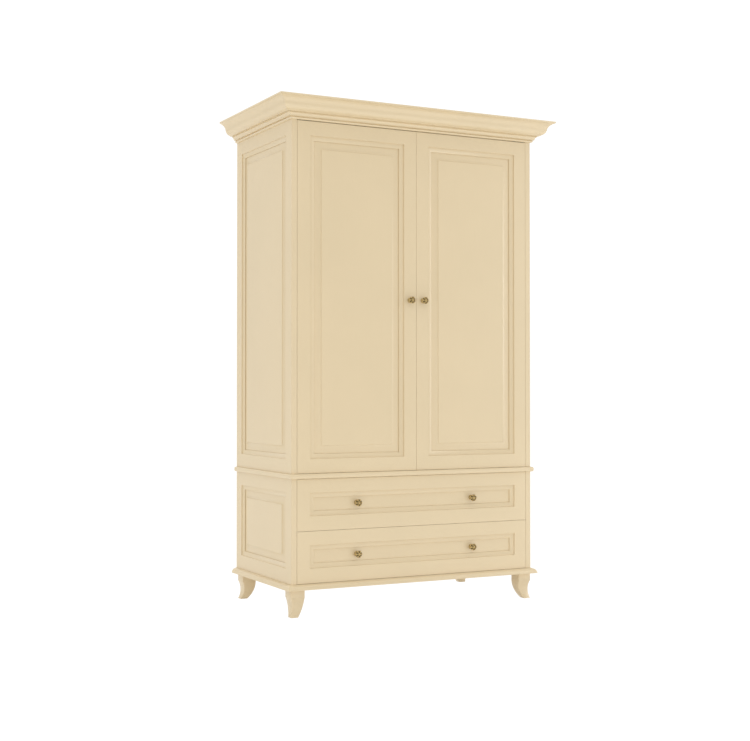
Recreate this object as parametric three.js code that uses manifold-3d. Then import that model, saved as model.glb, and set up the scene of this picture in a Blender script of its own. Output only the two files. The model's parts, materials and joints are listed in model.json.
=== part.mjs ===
// A two-door wardrobe on a two-drawer base: frame-and-panel sides and doors, a moulded cornice,
// a bullnosed waist board, a moulded base board and four sabre legs.
//
// Millimetres, +Z up. The doors and drawers face -Y. The origin is on the floor, at the middle of
// the overall plan. Inside the "wardrobe" group, Y runs back from the plane of the door faces.
import * as THREE from "three";
import { mergeVertices } from "three/addons/utils/BufferGeometryUtils.js";
import Module from "manifold-3d";

const wasm = await Module();
wasm.setup();

// ---------------------------------------------------------------- driving dimensions
const BODY_WIDTH = 1200;
const BODY_DEPTH = 632;
const LEG_HEIGHT = 116;
const BASE_THICKNESS = 23;
const DRAWER_FRONT_HEIGHT = 220.05;
const WAIST_THICKNESS = 22;
const DOOR_HEIGHT = 1494.6;
const CORNICE_HEIGHT = 91;
const CORNICE_OVERHANG = 86.6;
const BASE_OVERHANG = 23.5;
const WAIST_OVERHANG = 11.4;
const NOSE = 8.5; // the rounding of the waist board's edge

const SIDE_THICKNESS = 25;
const DOOR_THICKNESS = 24;
const BOARD_THICKNESS = 22;
const SHELF_THICKNESS = 18;
const BACK_THICKNESS = 6;

const SEAM = 0.3; // left between two pieces that touch
const REVEAL = 1; // the running gap round doors and drawers
const MEETING_GAP = 1; // between the two doors
const DOOR_TOP_GAP = 2.2; // below the cornice

// Flat border of every frame, and the moulded edge inside it, as inset and depth.
const BORDER = 61;
const FILLET_DEPTH = 5;
const FILLET_WIDTH = 3;
const STICKING_WIDTH = 20;
const BEVEL_DEPTH = 10.5;
const BAND_DEPTH = 15;
const LOWER_PANEL_RISE = 2; // the panels of the lower case sit this far above centre
// Panels: a tongue held in the frame's groove, a sunk band and a raised field.
const GROOVE_DEPTH = 8;
const TONGUE_THICKNESS = 5;
const TONGUE_PLAY = 1;
const FIELD_INSET = 55; // from the border's inner edge to the field
const FIELD_SLOPE = 12.5;
const FIELD_STEP_DEPTH = 11;
const FIELD_DEPTH = 7.5;

// Pivot hinges: near enough to the face for the edge to turn inside the reveal.
const PIVOT_FROM_EDGE = 30;
const PIVOT_BEHIND_FACE = 6.5;
const PIN_RADIUS = 3;
const PIN_CLEARANCE = 0.12;
const PLATE = { length: 60, width: 11, thickness: 3.5, fromEdge: 6 };

const KNOB_HEIGHT = 1353;
const DOOR_KNOB_X = 33;
const DRAWER_KNOB_X = 288;

const SHELF_BOTTOM = 1800;
const SHELF_SETBACK = 45;
const CLEAT = { height: 20, thickness: 18, front: 60, shortOfBack: 40 };
const RAIL_HEIGHT = 1735;
const RAIL_RADIUS = 12.5;
const RAIL_END_GAP = 3;
const SOCKET = { flange: 24, flangeThickness: 2.5, floor: 2.4, wall: 2.5, depth: 14 };
const CATCH = { width: 64, behindDoor: 1.6, back: 46, drop: 14 };

const DRAWER_SIDE = { thickness: 14, clearance: 10, above: 12, below: 25, back: 592 };
const DRAWER_BOTTOM = { rise: 8, thickness: 6, letIn: 5 };
const DRAWER_BACK_DROP = 10; // the back board is this much lower than the sides
const RUNNER = { height: 17, reach: 5.5, front: 40, back: 600, play: 0.5 };

const REBATE = 12; // the back panels lie this far into the side frames
const CORNICE_BACK = { top: 48, low: 27 }; // the slant cut off the back of the cornice
const LEG = {
  block: 62.8,
  shoulder: 82,
  hollow: 8.2,
  waist: 42,
  toe: 33,
  frontInset: 2,
  backInset: 19,
};

// ---------------------------------------------------------------- derived levels and lines
const HALF = BODY_WIDTH / 2;
const INNER = HALF - SIDE_THICKNESS;
const BASE_TOP = LEG_HEIGHT + BASE_THICKNESS;
const LOWER_DRAWER_BOTTOM = BASE_TOP + REVEAL;
const UPPER_DRAWER_BOTTOM = LOWER_DRAWER_BOTTOM + DRAWER_FRONT_HEIGHT + REVEAL;
const WAIST_BOTTOM = UPPER_DRAWER_BOTTOM + DRAWER_FRONT_HEIGHT + REVEAL;
const WAIST_TOP = WAIST_BOTTOM + WAIST_THICKNESS;
const DOOR_BOTTOM = WAIST_TOP + REVEAL;
const DOOR_TOP = DOOR_BOTTOM + DOOR_HEIGHT;
const CORNICE_BOTTOM = DOOR_TOP + DOOR_TOP_GAP;
const TOP_BOARD_TOP = CORNICE_BOTTOM + BOARD_THICKNESS;
const CENTRE_Y = (BODY_DEPTH - CORNICE_OVERHANG) / 2;
const BACK_FACE = BODY_DEPTH - BACK_THICKNESS;
const PIVOT_X = INNER - REVEAL - PIVOT_FROM_EDGE;
const PAST = 5; // how far a cutting tool runs past what it cuts
const ROUND_SIDES = 24; // facets round a turned piece
const KNOB_SIDES = 20;

// ---------------------------------------------------------------- materials
function finish(color, roughness, metalness = 0) {
  return () => new THREE.MeshStandardMaterial({ color, roughness, metalness });
}
const creamPaint = finish(0xe2d0ae, 0.42);
const beech = finish(0xd3b084, 0.6);
const plywood = finish(0xd9c39a, 0.7);
const antiqueBrass = finish(0x9a7a45, 0.38, 0.9);
const steel = finish(0xb9bbbd, 0.35, 1);
const chrome = finish(0xd8dadc, 0.12, 1);
const blackPlastic = finish(0x2b2b2b, 0.5);

// ---------------------------------------------------------------- solids
function solid(geometry) {
  const bare = geometry.index ? geometry.toNonIndexed() : geometry.clone();
  bare.deleteAttribute("normal");
  bare.deleteAttribute("uv");
  const merged = mergeVertices(bare, 1e-3);
  const vertProperties = new Float32Array(merged.attributes.position.array);
  const triVerts = new Uint32Array(merged.index.array);
  return new wasm.Manifold(new wasm.Mesh({ numProp: 3, vertProperties, triVerts }));
}

function geometryOf(made) {
  const mesh = made.getMesh();
  const geometry = new THREE.BufferGeometry();
  geometry.setAttribute("position", new THREE.BufferAttribute(mesh.vertProperties, 3));
  geometry.setIndex(new THREE.BufferAttribute(mesh.triVerts, 1));
  geometry.computeVertexNormals();
  return geometry;
}

function shapeOf(outline) {
  return new THREE.Shape(outline.map(([a, b]) => new THREE.Vector2(a, b)));
}

// An outline drawn flat and pushed along its normal, then turned so that the normal is an axis.
function prism(outline, low, high, turn) {
  const geometry = new THREE.ExtrudeGeometry(shapeOf(outline), { depth: high - low, bevelEnabled: false });
  geometry.translate(0, 0, low);
  geometry.applyMatrix4(turn);
  return geometry;
}
const X = new THREE.Vector3(1, 0, 0);
const Y = new THREE.Vector3(0, 1, 0);
const Z = new THREE.Vector3(0, 0, 1);
const alongX = (outlineYZ, low, high) => prism(outlineYZ, low, high, new THREE.Matrix4().makeBasis(Y, Z, X));
const alongZ = (outlineXY, low, high) => prism(outlineXY, low, high, new THREE.Matrix4());

function alongY(outlineXZ, low, high) {
  const swapped = outlineXZ.map(([x, z]) => [z, x]);
  return prism(swapped, low, high, new THREE.Matrix4().makeBasis(Z, X, Y));
}

function box(x0, x1, y0, y1, z0, z1) {
  const geometry = new THREE.BoxGeometry(x1 - x0, y1 - y0, z1 - z0);
  geometry.translate((x0 + x1) / 2, (y0 + y1) / 2, (z0 + z1) / 2);
  return geometry;
}

// The space that keeps one outline across X and the other across Y: both mouldings, mitred.
function crossed(outlineXZ, outlineYZ, halfX, lowY, highY) {
  return solid(alongY(outlineXZ, lowY, highY)).intersect(solid(alongX(outlineYZ, -halfX, halfX)));
}

function path(start, ...steps) {
  const shape = new THREE.Shape();
  shape.moveTo(...start);
  for (const step of steps) {
    if (step.length === 2) shape.lineTo(...step);
    else shape.quadraticCurveTo(...step);
  }
  return shape.getPoints(5).map((point) => [point.x, point.y]);
}

// ---------------------------------------------------------------- the scene graph
const root = new THREE.Group();
const wardrobe = new THREE.Group();
wardrobe.position.y = -CENTRE_Y;
root.add(wardrobe);

function add(name, shape, material, parent = wardrobe) {
  const geometry = shape.isBufferGeometry ? shape : geometryOf(shape);
  const mesh = new THREE.Mesh(geometry, material());
  mesh.name = name;
  parent.add(mesh);
  return mesh;
}

// Left is -X. A mirrored pair is built from the signed side.
const SIDES = [
  { side: "left", sign: -1 },
  { side: "right", sign: 1 },
];

function span(sign, near, far) {
  return sign < 0 ? [-far, -near] : [near, far];
}

// ---------------------------------------------------------------- frames and panels
// A frame stands with its face at y = 0, facing -Y, from x = 0 to width and z = 0 to height.
function edges({ width, height, bottom = BORDER, top = BORDER }) {
  return { x: [BORDER, width - BORDER], z: [bottom, height - top] };
}

function stickingOutline([low, high], through) {
  const half = [
    [0, -PAST],
    [0, FILLET_DEPTH],
    [FILLET_WIDTH, FILLET_DEPTH],
    [STICKING_WIDTH, BEVEL_DEPTH],
    [STICKING_WIDTH, through],
  ];
  return mirrorOutline(half, low, high);
}

// Repeats a list of inset and depth points from the low edge at the high edge.
function mirrorOutline(half, low, high) {
  const there = half.map(([inset, depth]) => [low + inset, depth]);
  const back = half.map(([inset, depth]) => [high - inset, depth]).reverse();
  return [...there, ...back];
}

function ringed(outlineOf, { x, z }, margin) {
  const acrossX = alongZ(outlineOf(x), z[0] - margin, z[1] + margin);
  const upright = outlineOf(z).map(([height, depth]) => [depth, height]);
  const acrossZ = alongX(upright, x[0] - margin, x[1] + margin);
  return solid(acrossX).intersect(solid(acrossZ));
}

function frameSolid(size, thickness) {
  const { x, z } = edges(size);
  const window = ringed((limits) => stickingOutline(limits, thickness + PAST), { x, z }, PAST);
  const inset = STICKING_WIDTH - GROOVE_DEPTH;
  const grooveBack = BAND_DEPTH + SEAM + TONGUE_THICKNESS + SEAM;
  const groove = box(x[0] + inset, x[1] - inset, BAND_DEPTH, grooveBack, z[0] + inset, z[1] - inset);
  return solid(box(0, size.width, 0, thickness, 0, size.height)).subtract(window).subtract(solid(groove));
}

function panelSolid(size) {
  const front = BAND_DEPTH + SEAM;
  const tongue = STICKING_WIDTH - GROOVE_DEPTH + TONGUE_PLAY;
  const half = [
    [tongue, front + TONGUE_THICKNESS],
    [tongue, front],
    [FIELD_INSET - FIELD_SLOPE, front],
    [FIELD_INSET, FIELD_STEP_DEPTH],
    [FIELD_INSET, FIELD_DEPTH],
  ];
  return ringed((limits) => mirrorOutline(half, ...limits), edges(size), 0);
}

// ---------------------------------------------------------------- boards
function baseBoard() {
  const edge = path(
    [5, BASE_THICKNESS],
    [5.5, BASE_THICKNESS - 2],
    [BASE_OVERHANG - 4, BASE_THICKNESS - 2.5, BASE_OVERHANG, 3],
    [BASE_OVERHANG, 0],
  );
  return mouldedBoard(edge, LEG_HEIGHT, BASE_OVERHANG);
}

// A board as wide as the body whose front and ends carry the given edge: points of overhang and
// height, from the top face down to the underside.
function mouldedBoard(edge, bottom, overhang) {
  const lifted = edge.map(([over, height]) => [over, bottom + height]);
  const outlineXZ = [
    ...lifted.map(([over, z]) => [HALF + over, z]),
    ...lifted.map(([over, z]) => [-HALF - over, z]).reverse(),
  ];
  const outlineYZ = [
    ...lifted.map(([over, z]) => [-over, z]),
    [BODY_DEPTH, lifted.at(-1)[1]],
    [BODY_DEPTH, lifted[0][1]],
  ];
  return crossed(outlineXZ, outlineYZ, HALF + overhang + PAST, -overhang - PAST, BODY_DEPTH);
}

function waistBoard() {
  const [over, back] = [WAIST_OVERHANG, WAIST_OVERHANG - NOSE];
  const edge = path(
    [back, WAIST_THICKNESS],
    [over, WAIST_THICKNESS, over, WAIST_THICKNESS - NOSE],
    [over, NOSE],
    [over, 0, back, 0],
  );
  return mouldedBoard(edge, WAIST_BOTTOM, WAIST_OVERHANG);
}

// The cornice's section as overhang and height: quirked bead, cove, cyma and fascia, with the
// back cut away above the top board.
function corniceOutline() {
  return path(
    [0, 0],
    [9.5, 0.5, 10.5, 6],
    [10.3, 9, 8, 10],
    [8, 11.2],
    [16, 11.2],
    [16, 13],
    [18, 23, 25, 24.6],
    [23.5, 26],
    [23.5, 29],
    [34.5, 29],
    [35.5, 30.6],
    [53, 36, 57, 54],
    [60, 75, CORNICE_OVERHANG - 2.6, CORNICE_HEIGHT - 7],
    [CORNICE_OVERHANG, CORNICE_HEIGHT - 7],
    [CORNICE_OVERHANG, CORNICE_HEIGHT],
    [CORNICE_BACK.top, CORNICE_HEIGHT],
    [0, CORNICE_BACK.low],
  );
}

// Two lengths of cornice meet in a mitre: each point moves along by its own overhang.
function mitred(geometry, axis, along) {
  const position = geometry.getAttribute("position");
  for (let i = 0; i < position.count; i++) {
    const value = along(position.getX(i), position.getY(i), position.getZ(i));
    if (axis === "x") position.setX(i, value);
    else position.setY(i, value);
  }
  return geometry;
}

function corniceFront() {
  const outline = corniceOutline().map(([over, height]) => [-over, CORNICE_BOTTOM + height]);
  const length = alongX(outline, -1, 1);
  return mitred(length, "x", (x, y) => Math.sign(x) * (HALF - y - SEAM / 2));
}

function corniceSide(sign) {
  const outline = corniceOutline().map(([over, height]) => [
    sign * (HALF + SEAM + over),
    CORNICE_BOTTOM + height,
  ]);
  const length = alongY(outline, -1, 1);
  const front = (x) => HALF + SEAM - Math.abs(x) + SEAM;
  return mitred(length, "y", (x, y) => (y < 0 ? front(x) : BODY_DEPTH));
}

// Closes the well above the top board at the back; its ends follow the backs of the side cornices.
function corniceBack() {
  const z0 = TOP_BOARD_TOP + SEAM;
  const reach = (z) => HALF + Math.max(0, slant(z));
  const slantStart = CORNICE_BOTTOM + CORNICE_BACK.low;
  const z1 = CORNICE_BOTTOM + CORNICE_HEIGHT;
  const right = [
    [reach(z0), z0],
    [reach(slantStart), slantStart],
    [reach(z1), z1],
  ];
  const left = right.map(([x, z]) => [-x, z]).reverse();
  return alongY([...right, ...left], BODY_DEPTH - BOARD_THICKNESS, BODY_DEPTH);
}

function slant(z) {
  const rise = z - CORNICE_BOTTOM - CORNICE_BACK.low;
  return (rise * CORNICE_BACK.top) / (CORNICE_HEIGHT - CORNICE_BACK.low);
}

// ---------------------------------------------------------------- carcass
function mortise(sign, z0, z1) {
  const [x0, x1] = plateSpan(sign, SEAM);
  const y0 = PIVOT_BEHIND_FACE - PLATE.width / 2 - SEAM;
  return solid(box(x0, x1, y0, y0 + PLATE.width + 2 * SEAM, z0, z1));
}

function plateSpan(sign, grow = 0) {
  const outer = INNER - REVEAL - PLATE.fromEdge;
  return span(sign, outer - PLATE.length - grow, outer + grow);
}

function carcass() {
  let waist = waistBoard();
  let top = solid(
    box(-INNER + SEAM, INNER - SEAM, SEAM, BACK_FACE - SEAM, CORNICE_BOTTOM, TOP_BOARD_TOP),
  );
  for (const { sign } of SIDES) {
    waist = waist.subtract(mortise(sign, WAIST_TOP - PLATE.thickness - SEAM, WAIST_TOP + PAST));
    top = top.subtract(mortise(sign, CORNICE_BOTTOM - PAST, CORNICE_BOTTOM + PLATE.thickness + SEAM));
  }
  add("base_board", baseBoard(), creamPaint);
  add("waist_board", waist, creamPaint);
  add("top_board", top, creamPaint);
  sideWalls("lower", BASE_TOP + SEAM, WAIST_BOTTOM - SEAM, {
    bottom: BORDER + LOWER_PANEL_RISE,
    top: BORDER - LOWER_PANEL_RISE,
  });
  sideWalls("upper", WAIST_TOP + SEAM, TOP_BOARD_TOP, { top: BORDER + BOARD_THICKNESS });
  backPanel("lower_back_panel", BASE_TOP + SEAM, WAIST_BOTTOM - SEAM);
  backPanel("upper_back_panel", WAIST_TOP + SEAM, TOP_BOARD_TOP);
}

function backPanel(name, z0, z1) {
  const reach = INNER + REBATE - SEAM;
  add(name, box(-reach, reach, BACK_FACE, BODY_DEPTH, z0, z1), plywood);
}

// The left wall is turned so that its face looks to -X and its low end is at the back; the right
// wall's face looks to +X and its low end is at the front.
function sideWalls(level, z0, z1, borders) {
  const size = { width: BODY_DEPTH, height: z1 - z0, ...borders };
  for (const { side, sign } of SIDES) {
    const place = new THREE.Group();
    place.rotation.z = (sign * Math.PI) / 2;
    place.position.set(sign * HALF, sign < 0 ? BODY_DEPTH : 0, z0);
    wardrobe.add(place);
    const depth = BACK_THICKNESS + SEAM;
    const backEnd = sign < 0 ? [-PAST, depth] : [BODY_DEPTH - depth, BODY_DEPTH + PAST];
    const inward = [SIDE_THICKNESS - REBATE, SIDE_THICKNESS + PAST];
    const rebate = box(...backEnd, ...inward, -PAST, size.height + PAST);
    const frame = frameSolid(size, SIDE_THICKNESS).subtract(solid(rebate));
    add(`${level}_side_frame_${side}`, frame, creamPaint, place);
    add(`${level}_side_panel_${side}`, panelSolid(size), creamPaint, place);
  }
}

function cornice() {
  add("cornice_front", corniceFront(), creamPaint);
  for (const { side, sign } of SIDES) add(`cornice_${side}`, corniceSide(sign), creamPaint);
  add("cornice_back_rail", corniceBack(), creamPaint);
}

// ---------------------------------------------------------------- legs
// The leg's outline as distance in from its outer face and height above the floor: a square
// block, a hollow outer curve back out to the toe, and a full inner curve.
function legOutline() {
  const top = LEG_HEIGHT - SEAM;
  return path(
    [0, top],
    [0, LEG.shoulder],
    [LEG.hollow, LEG.waist + 24, LEG.hollow, LEG.waist],
    [LEG.hollow, LEG.waist / 2 - 3, 0, 0],
    [LEG.toe, 0],
    [LEG.block - 1, LEG.waist - 6, LEG.block, LEG.shoulder - 2],
    [LEG.block, top],
  );
}

function legs() {
  const rows = [
    { row: "front", face: LEG.frontInset, back: 1 },
    { row: "rear", face: BODY_DEPTH - LEG.backInset, back: -1 },
  ];
  for (const { row, face, back } of rows) {
    for (const { side, sign } of SIDES) {
      const acrossX = legOutline().map(([inset, z]) => [sign * (HALF - inset), z]);
      const acrossY = legOutline().map(([inset, z]) => [face + back * inset, z]);
      const low = Math.min(face, face + back * LEG.block) - PAST;
      const high = Math.max(face, face + back * LEG.block) + PAST;
      add(`leg_${row}_${side}`, crossed(acrossX, acrossY, HALF + PAST, low, high), creamPaint);
    }
  }
}

// ---------------------------------------------------------------- inside the hanging space
function turned(profile, sides = ROUND_SIDES) {
  return new THREE.LatheGeometry(profile.map(([radius, height]) => new THREE.Vector2(radius, height)), sides);
}

function interior() {
  const shelfBack = BACK_FACE - SEAM;
  const shelfTop = SHELF_BOTTOM + SHELF_THICKNESS;
  const reach = INNER - SEAM;
  const shelf = box(-reach, reach, SHELF_SETBACK, shelfBack, SHELF_BOTTOM, shelfTop);
  add("hat_shelf", shelf, creamPaint);

  const railEnd = INNER - RAIL_END_GAP;
  const rail = turned([[0, -railEnd], [RAIL_RADIUS, -railEnd], [RAIL_RADIUS, railEnd], [0, railEnd]]);
  const railY = BODY_DEPTH / 2;
  const hanging = add("hanging_rail", rail, chrome);
  hanging.rotation.z = Math.PI / 2;
  hanging.position.set(0, railY, RAIL_HEIGHT);

  for (const { side, sign } of SIDES) {
    const [x0, x1] = span(sign, INNER - CLEAT.thickness, INNER - SEAM);
    const cleatZ = [SHELF_BOTTOM - CLEAT.height, SHELF_BOTTOM - SEAM];
    const cleat = box(x0, x1, CLEAT.front, shelfBack - CLEAT.shortOfBack, ...cleatZ);
    add(`shelf_cleat_${side}`, cleat, creamPaint);
    const socket = add(`rail_socket_${side}`, railSocket(), chrome);
    socket.rotation.z = (sign * Math.PI) / 2;
    socket.position.set(sign * (INNER - SEAM), railY, RAIL_HEIGHT);
  }
  const catchTop = CORNICE_BOTTOM - SEAM;
  const catchY = [DOOR_THICKNESS + CATCH.behindDoor, CATCH.back];
  const housing = box(-CATCH.width / 2, CATCH.width / 2, ...catchY, catchTop - CATCH.drop, catchTop);
  add("door_catch", housing, blackPlastic);
}

// A cup with a flange against the wall; the rail's end sits in it.
function railSocket() {
  const bore = RAIL_RADIUS + SEAM;
  const rim = bore + SOCKET.wall;
  return turned([
    [0, 0],
    [SOCKET.flange, 0],
    [SOCKET.flange, SOCKET.flangeThickness],
    [rim, SOCKET.flangeThickness + 1.5],
    [rim, SOCKET.depth],
    [bore, SOCKET.depth],
    [bore, SOCKET.floor],
    [0, SOCKET.floor],
  ]);
}

// ---------------------------------------------------------------- pivot hinges
// Knife-type pivot hinges: a plate let into the case and a plate with a pin let into the door.
function pivotPin(sign, radius, low, high) {
  const pin = turned([[0, low], [radius, low], [radius, high], [0, high]]);
  pin.rotateX(Math.PI / 2);
  pin.translate(sign * PIVOT_X, PIVOT_BEHIND_FACE, 0);
  return pin;
}

function casePivot(sign, z0, z1) {
  const [x0, x1] = plateSpan(sign);
  const y0 = PIVOT_BEHIND_FACE - PLATE.width / 2;
  const hole = pivotPin(sign, PIN_RADIUS + PIN_CLEARANCE, z0 - PAST, z1 + PAST);
  return solid(box(x0, x1, y0, y0 + PLATE.width, z0, z1)).subtract(solid(hole));
}

// The door's plate lies between z0 and z1; the pin stands from it to the level pinEnd.
function doorPivot(sign, z0, z1, pinEnd) {
  const [x0, x1] = plateSpan(sign);
  const y0 = PIVOT_BEHIND_FACE - PLATE.width / 2;
  const [low, high] = [Math.min(z0 + 1, pinEnd), Math.max(z1 - 1, pinEnd)];
  const pin = pivotPin(sign, PIN_RADIUS, low, high);
  return solid(box(x0, x1, y0, y0 + PLATE.width, z0, z1)).add(solid(pin));
}

function casePivots() {
  for (const { side, sign } of SIDES) {
    const topPlate = casePivot(sign, CORNICE_BOTTOM, CORNICE_BOTTOM + PLATE.thickness);
    const bottomPlate = casePivot(sign, WAIST_TOP - PLATE.thickness, WAIST_TOP);
    add(`case_pivot_top_${side}`, topPlate, steel);
    add(`case_pivot_bottom_${side}`, bottomPlate, steel);
  }
}

// ---------------------------------------------------------------- doors
function knob() {
  const outline = path(
    [0, 0],
    [10, 0],
    [10, 2],
    [6.5, 4],
    [4.5, 9, 5, 14],
    [7, 18, 14.5, 20],
    [17, 23, 15.5, 27],
    [10, 31.5, 0, 32],
  );
  return turned(outline, KNOB_SIDES);
}

// The knob's back stands at the given face and the knob points to -Y.
function addKnob(name, x, face, z) {
  const mesh = add(name, knob(), antiqueBrass);
  mesh.rotation.x = Math.PI;
  mesh.position.set(x, face - SEAM, z);
}

function doors() {
  const width = INNER - REVEAL - MEETING_GAP / 2;
  const size = { width, height: DOOR_HEIGHT };
  for (const { side, sign } of SIDES) {
    const [x0] = span(sign, MEETING_GAP / 2, INNER - REVEAL);
    const place = new THREE.Vector3(x0, 0, DOOR_BOTTOM);
    const lower = mortise(sign, DOOR_BOTTOM - PAST, DOOR_BOTTOM + PLATE.thickness + SEAM);
    const upper = mortise(sign, DOOR_TOP - PLATE.thickness - SEAM, DOOR_TOP + PAST);
    const frame = frameSolid(size, DOOR_THICKNESS).translate(place.toArray());
    add(`${side}_door_frame`, frame.subtract(lower).subtract(upper), creamPaint);
    add(`${side}_door_panel`, panelSolid(size), creamPaint).position.copy(place);
    addKnob(`${side}_door_knob`, sign * DOOR_KNOB_X, 0, KNOB_HEIGHT);

    const topPin = CORNICE_BOTTOM + PLATE.thickness - SEAM;
    const bottomPin = WAIST_TOP - PLATE.thickness + SEAM;
    const topPlate = doorPivot(sign, DOOR_TOP - PLATE.thickness, DOOR_TOP, topPin);
    const bottomPlate = doorPivot(sign, DOOR_BOTTOM, DOOR_BOTTOM + PLATE.thickness, bottomPin);
    add(`${side}_door_pivot_top`, topPlate, steel);
    add(`${side}_door_pivot_bottom`, bottomPlate, steel);
  }
}

// ---------------------------------------------------------------- drawers
function drawerFront(size) {
  const recess = ringed((limits) => stickingOutline(limits, BAND_DEPTH), edges(size), PAST);
  return solid(box(0, size.width, 0, DOOR_THICKNESS, 0, size.height)).subtract(recess);
}

function drawer(level, z0) {
  const z1 = z0 + DRAWER_FRONT_HEIGHT;
  const front = {
    width: 2 * (INNER - REVEAL),
    height: DRAWER_FRONT_HEIGHT,
    bottom: BORDER + LOWER_PANEL_RISE,
    top: BORDER - LOWER_PANEL_RISE,
  };
  const sideZ = [z0 + DRAWER_SIDE.above, z1 - DRAWER_SIDE.below];
  const outer = INNER - DRAWER_SIDE.clearance;
  const inner = outer - DRAWER_SIDE.thickness;
  const boxFront = DOOR_THICKNESS + SEAM;
  const bottomLow = sideZ[0] + DRAWER_BOTTOM.rise;
  const bottomZ = [bottomLow, bottomLow + DRAWER_BOTTOM.thickness];
  const letIn = DRAWER_BOTTOM.letIn;
  const runnerZ = (sideZ[0] + sideZ[1] - RUNNER.height) / 2;

  const slotX = inner + letIn + SEAM;
  const slotY = [boxFront - SEAM - letIn, DRAWER_SIDE.back + PAST];
  const bottomSlot = solid(box(-slotX, slotX, ...slotY, bottomZ[0] - SEAM, bottomZ[1] + SEAM));
  const frontSolid = drawerFront(front).translate([-INNER + REVEAL, 0, z0]);
  add(`${level}_drawer_front`, frontSolid.subtract(bottomSlot), creamPaint);
  const floor = box(-inner - letIn, inner + letIn, boxFront - letIn, DRAWER_SIDE.back, ...bottomZ);
  add(`${level}_drawer_bottom`, floor, plywood);
  const backBoard = box(
    -inner + SEAM,
    inner - SEAM,
    DRAWER_SIDE.back - DRAWER_SIDE.thickness,
    DRAWER_SIDE.back,
    bottomZ[1] + SEAM,
    sideZ[1] - DRAWER_BACK_DROP,
  );
  add(`${level}_drawer_back`, backBoard, beech);

  for (const { side, sign } of SIDES) {
    const [x0, x1] = span(sign, inner, outer);
    const [g0, g1] = span(sign, outer - RUNNER.reach - RUNNER.play, outer + PAST);
    const groove = box(
      g0,
      g1,
      RUNNER.front - PAST,
      DRAWER_SIDE.back + PAST,
      runnerZ - RUNNER.play,
      runnerZ + RUNNER.height + RUNNER.play,
    );
    const board = solid(box(x0, x1, boxFront, DRAWER_SIDE.back, ...sideZ));
    add(`${level}_drawer_side_${side}`, board.subtract(solid(groove)).subtract(bottomSlot), beech);
    const [r0, r1] = span(sign, outer - RUNNER.reach, INNER - SEAM);
    const runner = box(r0, r1, RUNNER.front, RUNNER.back, runnerZ, runnerZ + RUNNER.height);
    add(`${level}_runner_${side}`, runner, beech);
    const knobZ = (z0 + z1) / 2 + LOWER_PANEL_RISE;
    addKnob(`${level}_drawer_knob_${side}`, sign * DRAWER_KNOB_X, BAND_DEPTH, knobZ);
  }
}

// ---------------------------------------------------------------- assembly
carcass();
cornice();
legs();
interior();
casePivots();
doors();
drawer("lower", LOWER_DRAWER_BOTTOM);
drawer("upper", UPPER_DRAWER_BOTTOM);

export default root;
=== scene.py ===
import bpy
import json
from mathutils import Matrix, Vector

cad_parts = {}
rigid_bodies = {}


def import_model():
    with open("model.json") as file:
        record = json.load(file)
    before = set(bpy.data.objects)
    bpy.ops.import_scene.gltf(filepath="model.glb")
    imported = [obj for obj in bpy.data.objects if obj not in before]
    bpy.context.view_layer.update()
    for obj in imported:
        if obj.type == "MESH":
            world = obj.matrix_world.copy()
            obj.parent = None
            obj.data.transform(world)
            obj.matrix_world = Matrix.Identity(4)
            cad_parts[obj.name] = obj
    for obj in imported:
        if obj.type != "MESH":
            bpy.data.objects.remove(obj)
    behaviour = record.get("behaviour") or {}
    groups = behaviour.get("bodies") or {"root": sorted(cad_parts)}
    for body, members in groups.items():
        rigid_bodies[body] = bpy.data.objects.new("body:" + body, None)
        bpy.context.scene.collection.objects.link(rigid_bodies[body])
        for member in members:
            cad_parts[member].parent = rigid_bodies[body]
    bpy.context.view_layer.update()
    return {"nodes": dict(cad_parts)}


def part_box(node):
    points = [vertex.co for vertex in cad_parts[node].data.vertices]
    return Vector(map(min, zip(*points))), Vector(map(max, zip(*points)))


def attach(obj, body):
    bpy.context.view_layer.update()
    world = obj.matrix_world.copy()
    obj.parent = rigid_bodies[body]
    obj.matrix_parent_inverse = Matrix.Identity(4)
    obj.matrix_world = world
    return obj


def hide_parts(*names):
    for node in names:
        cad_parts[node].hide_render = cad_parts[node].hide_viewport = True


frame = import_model()

# A painted two-door wardrobe on sabre legs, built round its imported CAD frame.
#
# Metres, +Z up, doors facing -Y. Every place comes from the boxes of the CAD nodes, and every
# section size below repeats the design's own, in millimetres where MM is a factor.
import json
import math

import bmesh
import bpy
from mathutils import Matrix, Vector

MM = 0.001

# ---------------------------------------------------------------- section sizes, millimetres
BORDER = 61  # stiles and rails, from the outer edge to the moulded edge
LOWER_PANEL_RISE = 2  # the lower panels stand this much above the middle of their frames
STICKING_WIDTH = 20  # the moulded edge between a border and its panel
GROOVE = {"depth": 8, "thickness": 5.6}
TONGUE_INSET = 13
TONGUE_THICKNESS = 5
SEAM = 0.3  # clearance round parts let into others
REBATE = {"width": 12, "depth": 6.3}
NOSE = 8.5  # the rounding of the waist board's edge
JOINT = 0.25  # how far a side wall closes up to the boards above and below it
BOARD_THICKNESS = 22
BODY_HALF = 600
CORNICE_BACK = {"top": 48, "low": 27}  # where its sloped back meets its top and its rear face
FASCIA = {"height": 7, "lip": 2.6}
LEG_BLOCK = 62.8
LEG_TOP = 115.7
LEG_CORNER = 1.6
EASED = {"frame": 0.7, "board": 0.6, "bullnose": 0.4, "cornice": 0.25, "leg": 0.5, "thin": 0.3}
PAST = 0.01  # metres that a cutter reaches past the face it opens

SIDES = (("left", -1), ("right", 1))
ENDS = (("top", 1), ("bottom", -1))
LEVELS = ("lower", "upper")


# ---------------------------------------------------------------- mesh helpers
def mesh_object(name, bm):
    bmesh.ops.recalc_face_normals(bm, faces=bm.faces)
    mesh = bpy.data.meshes.new(name)
    bm.to_mesh(mesh)
    bm.free()
    obj = bpy.data.objects.new(name, mesh)
    bpy.context.scene.collection.objects.link(obj)
    return obj


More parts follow.
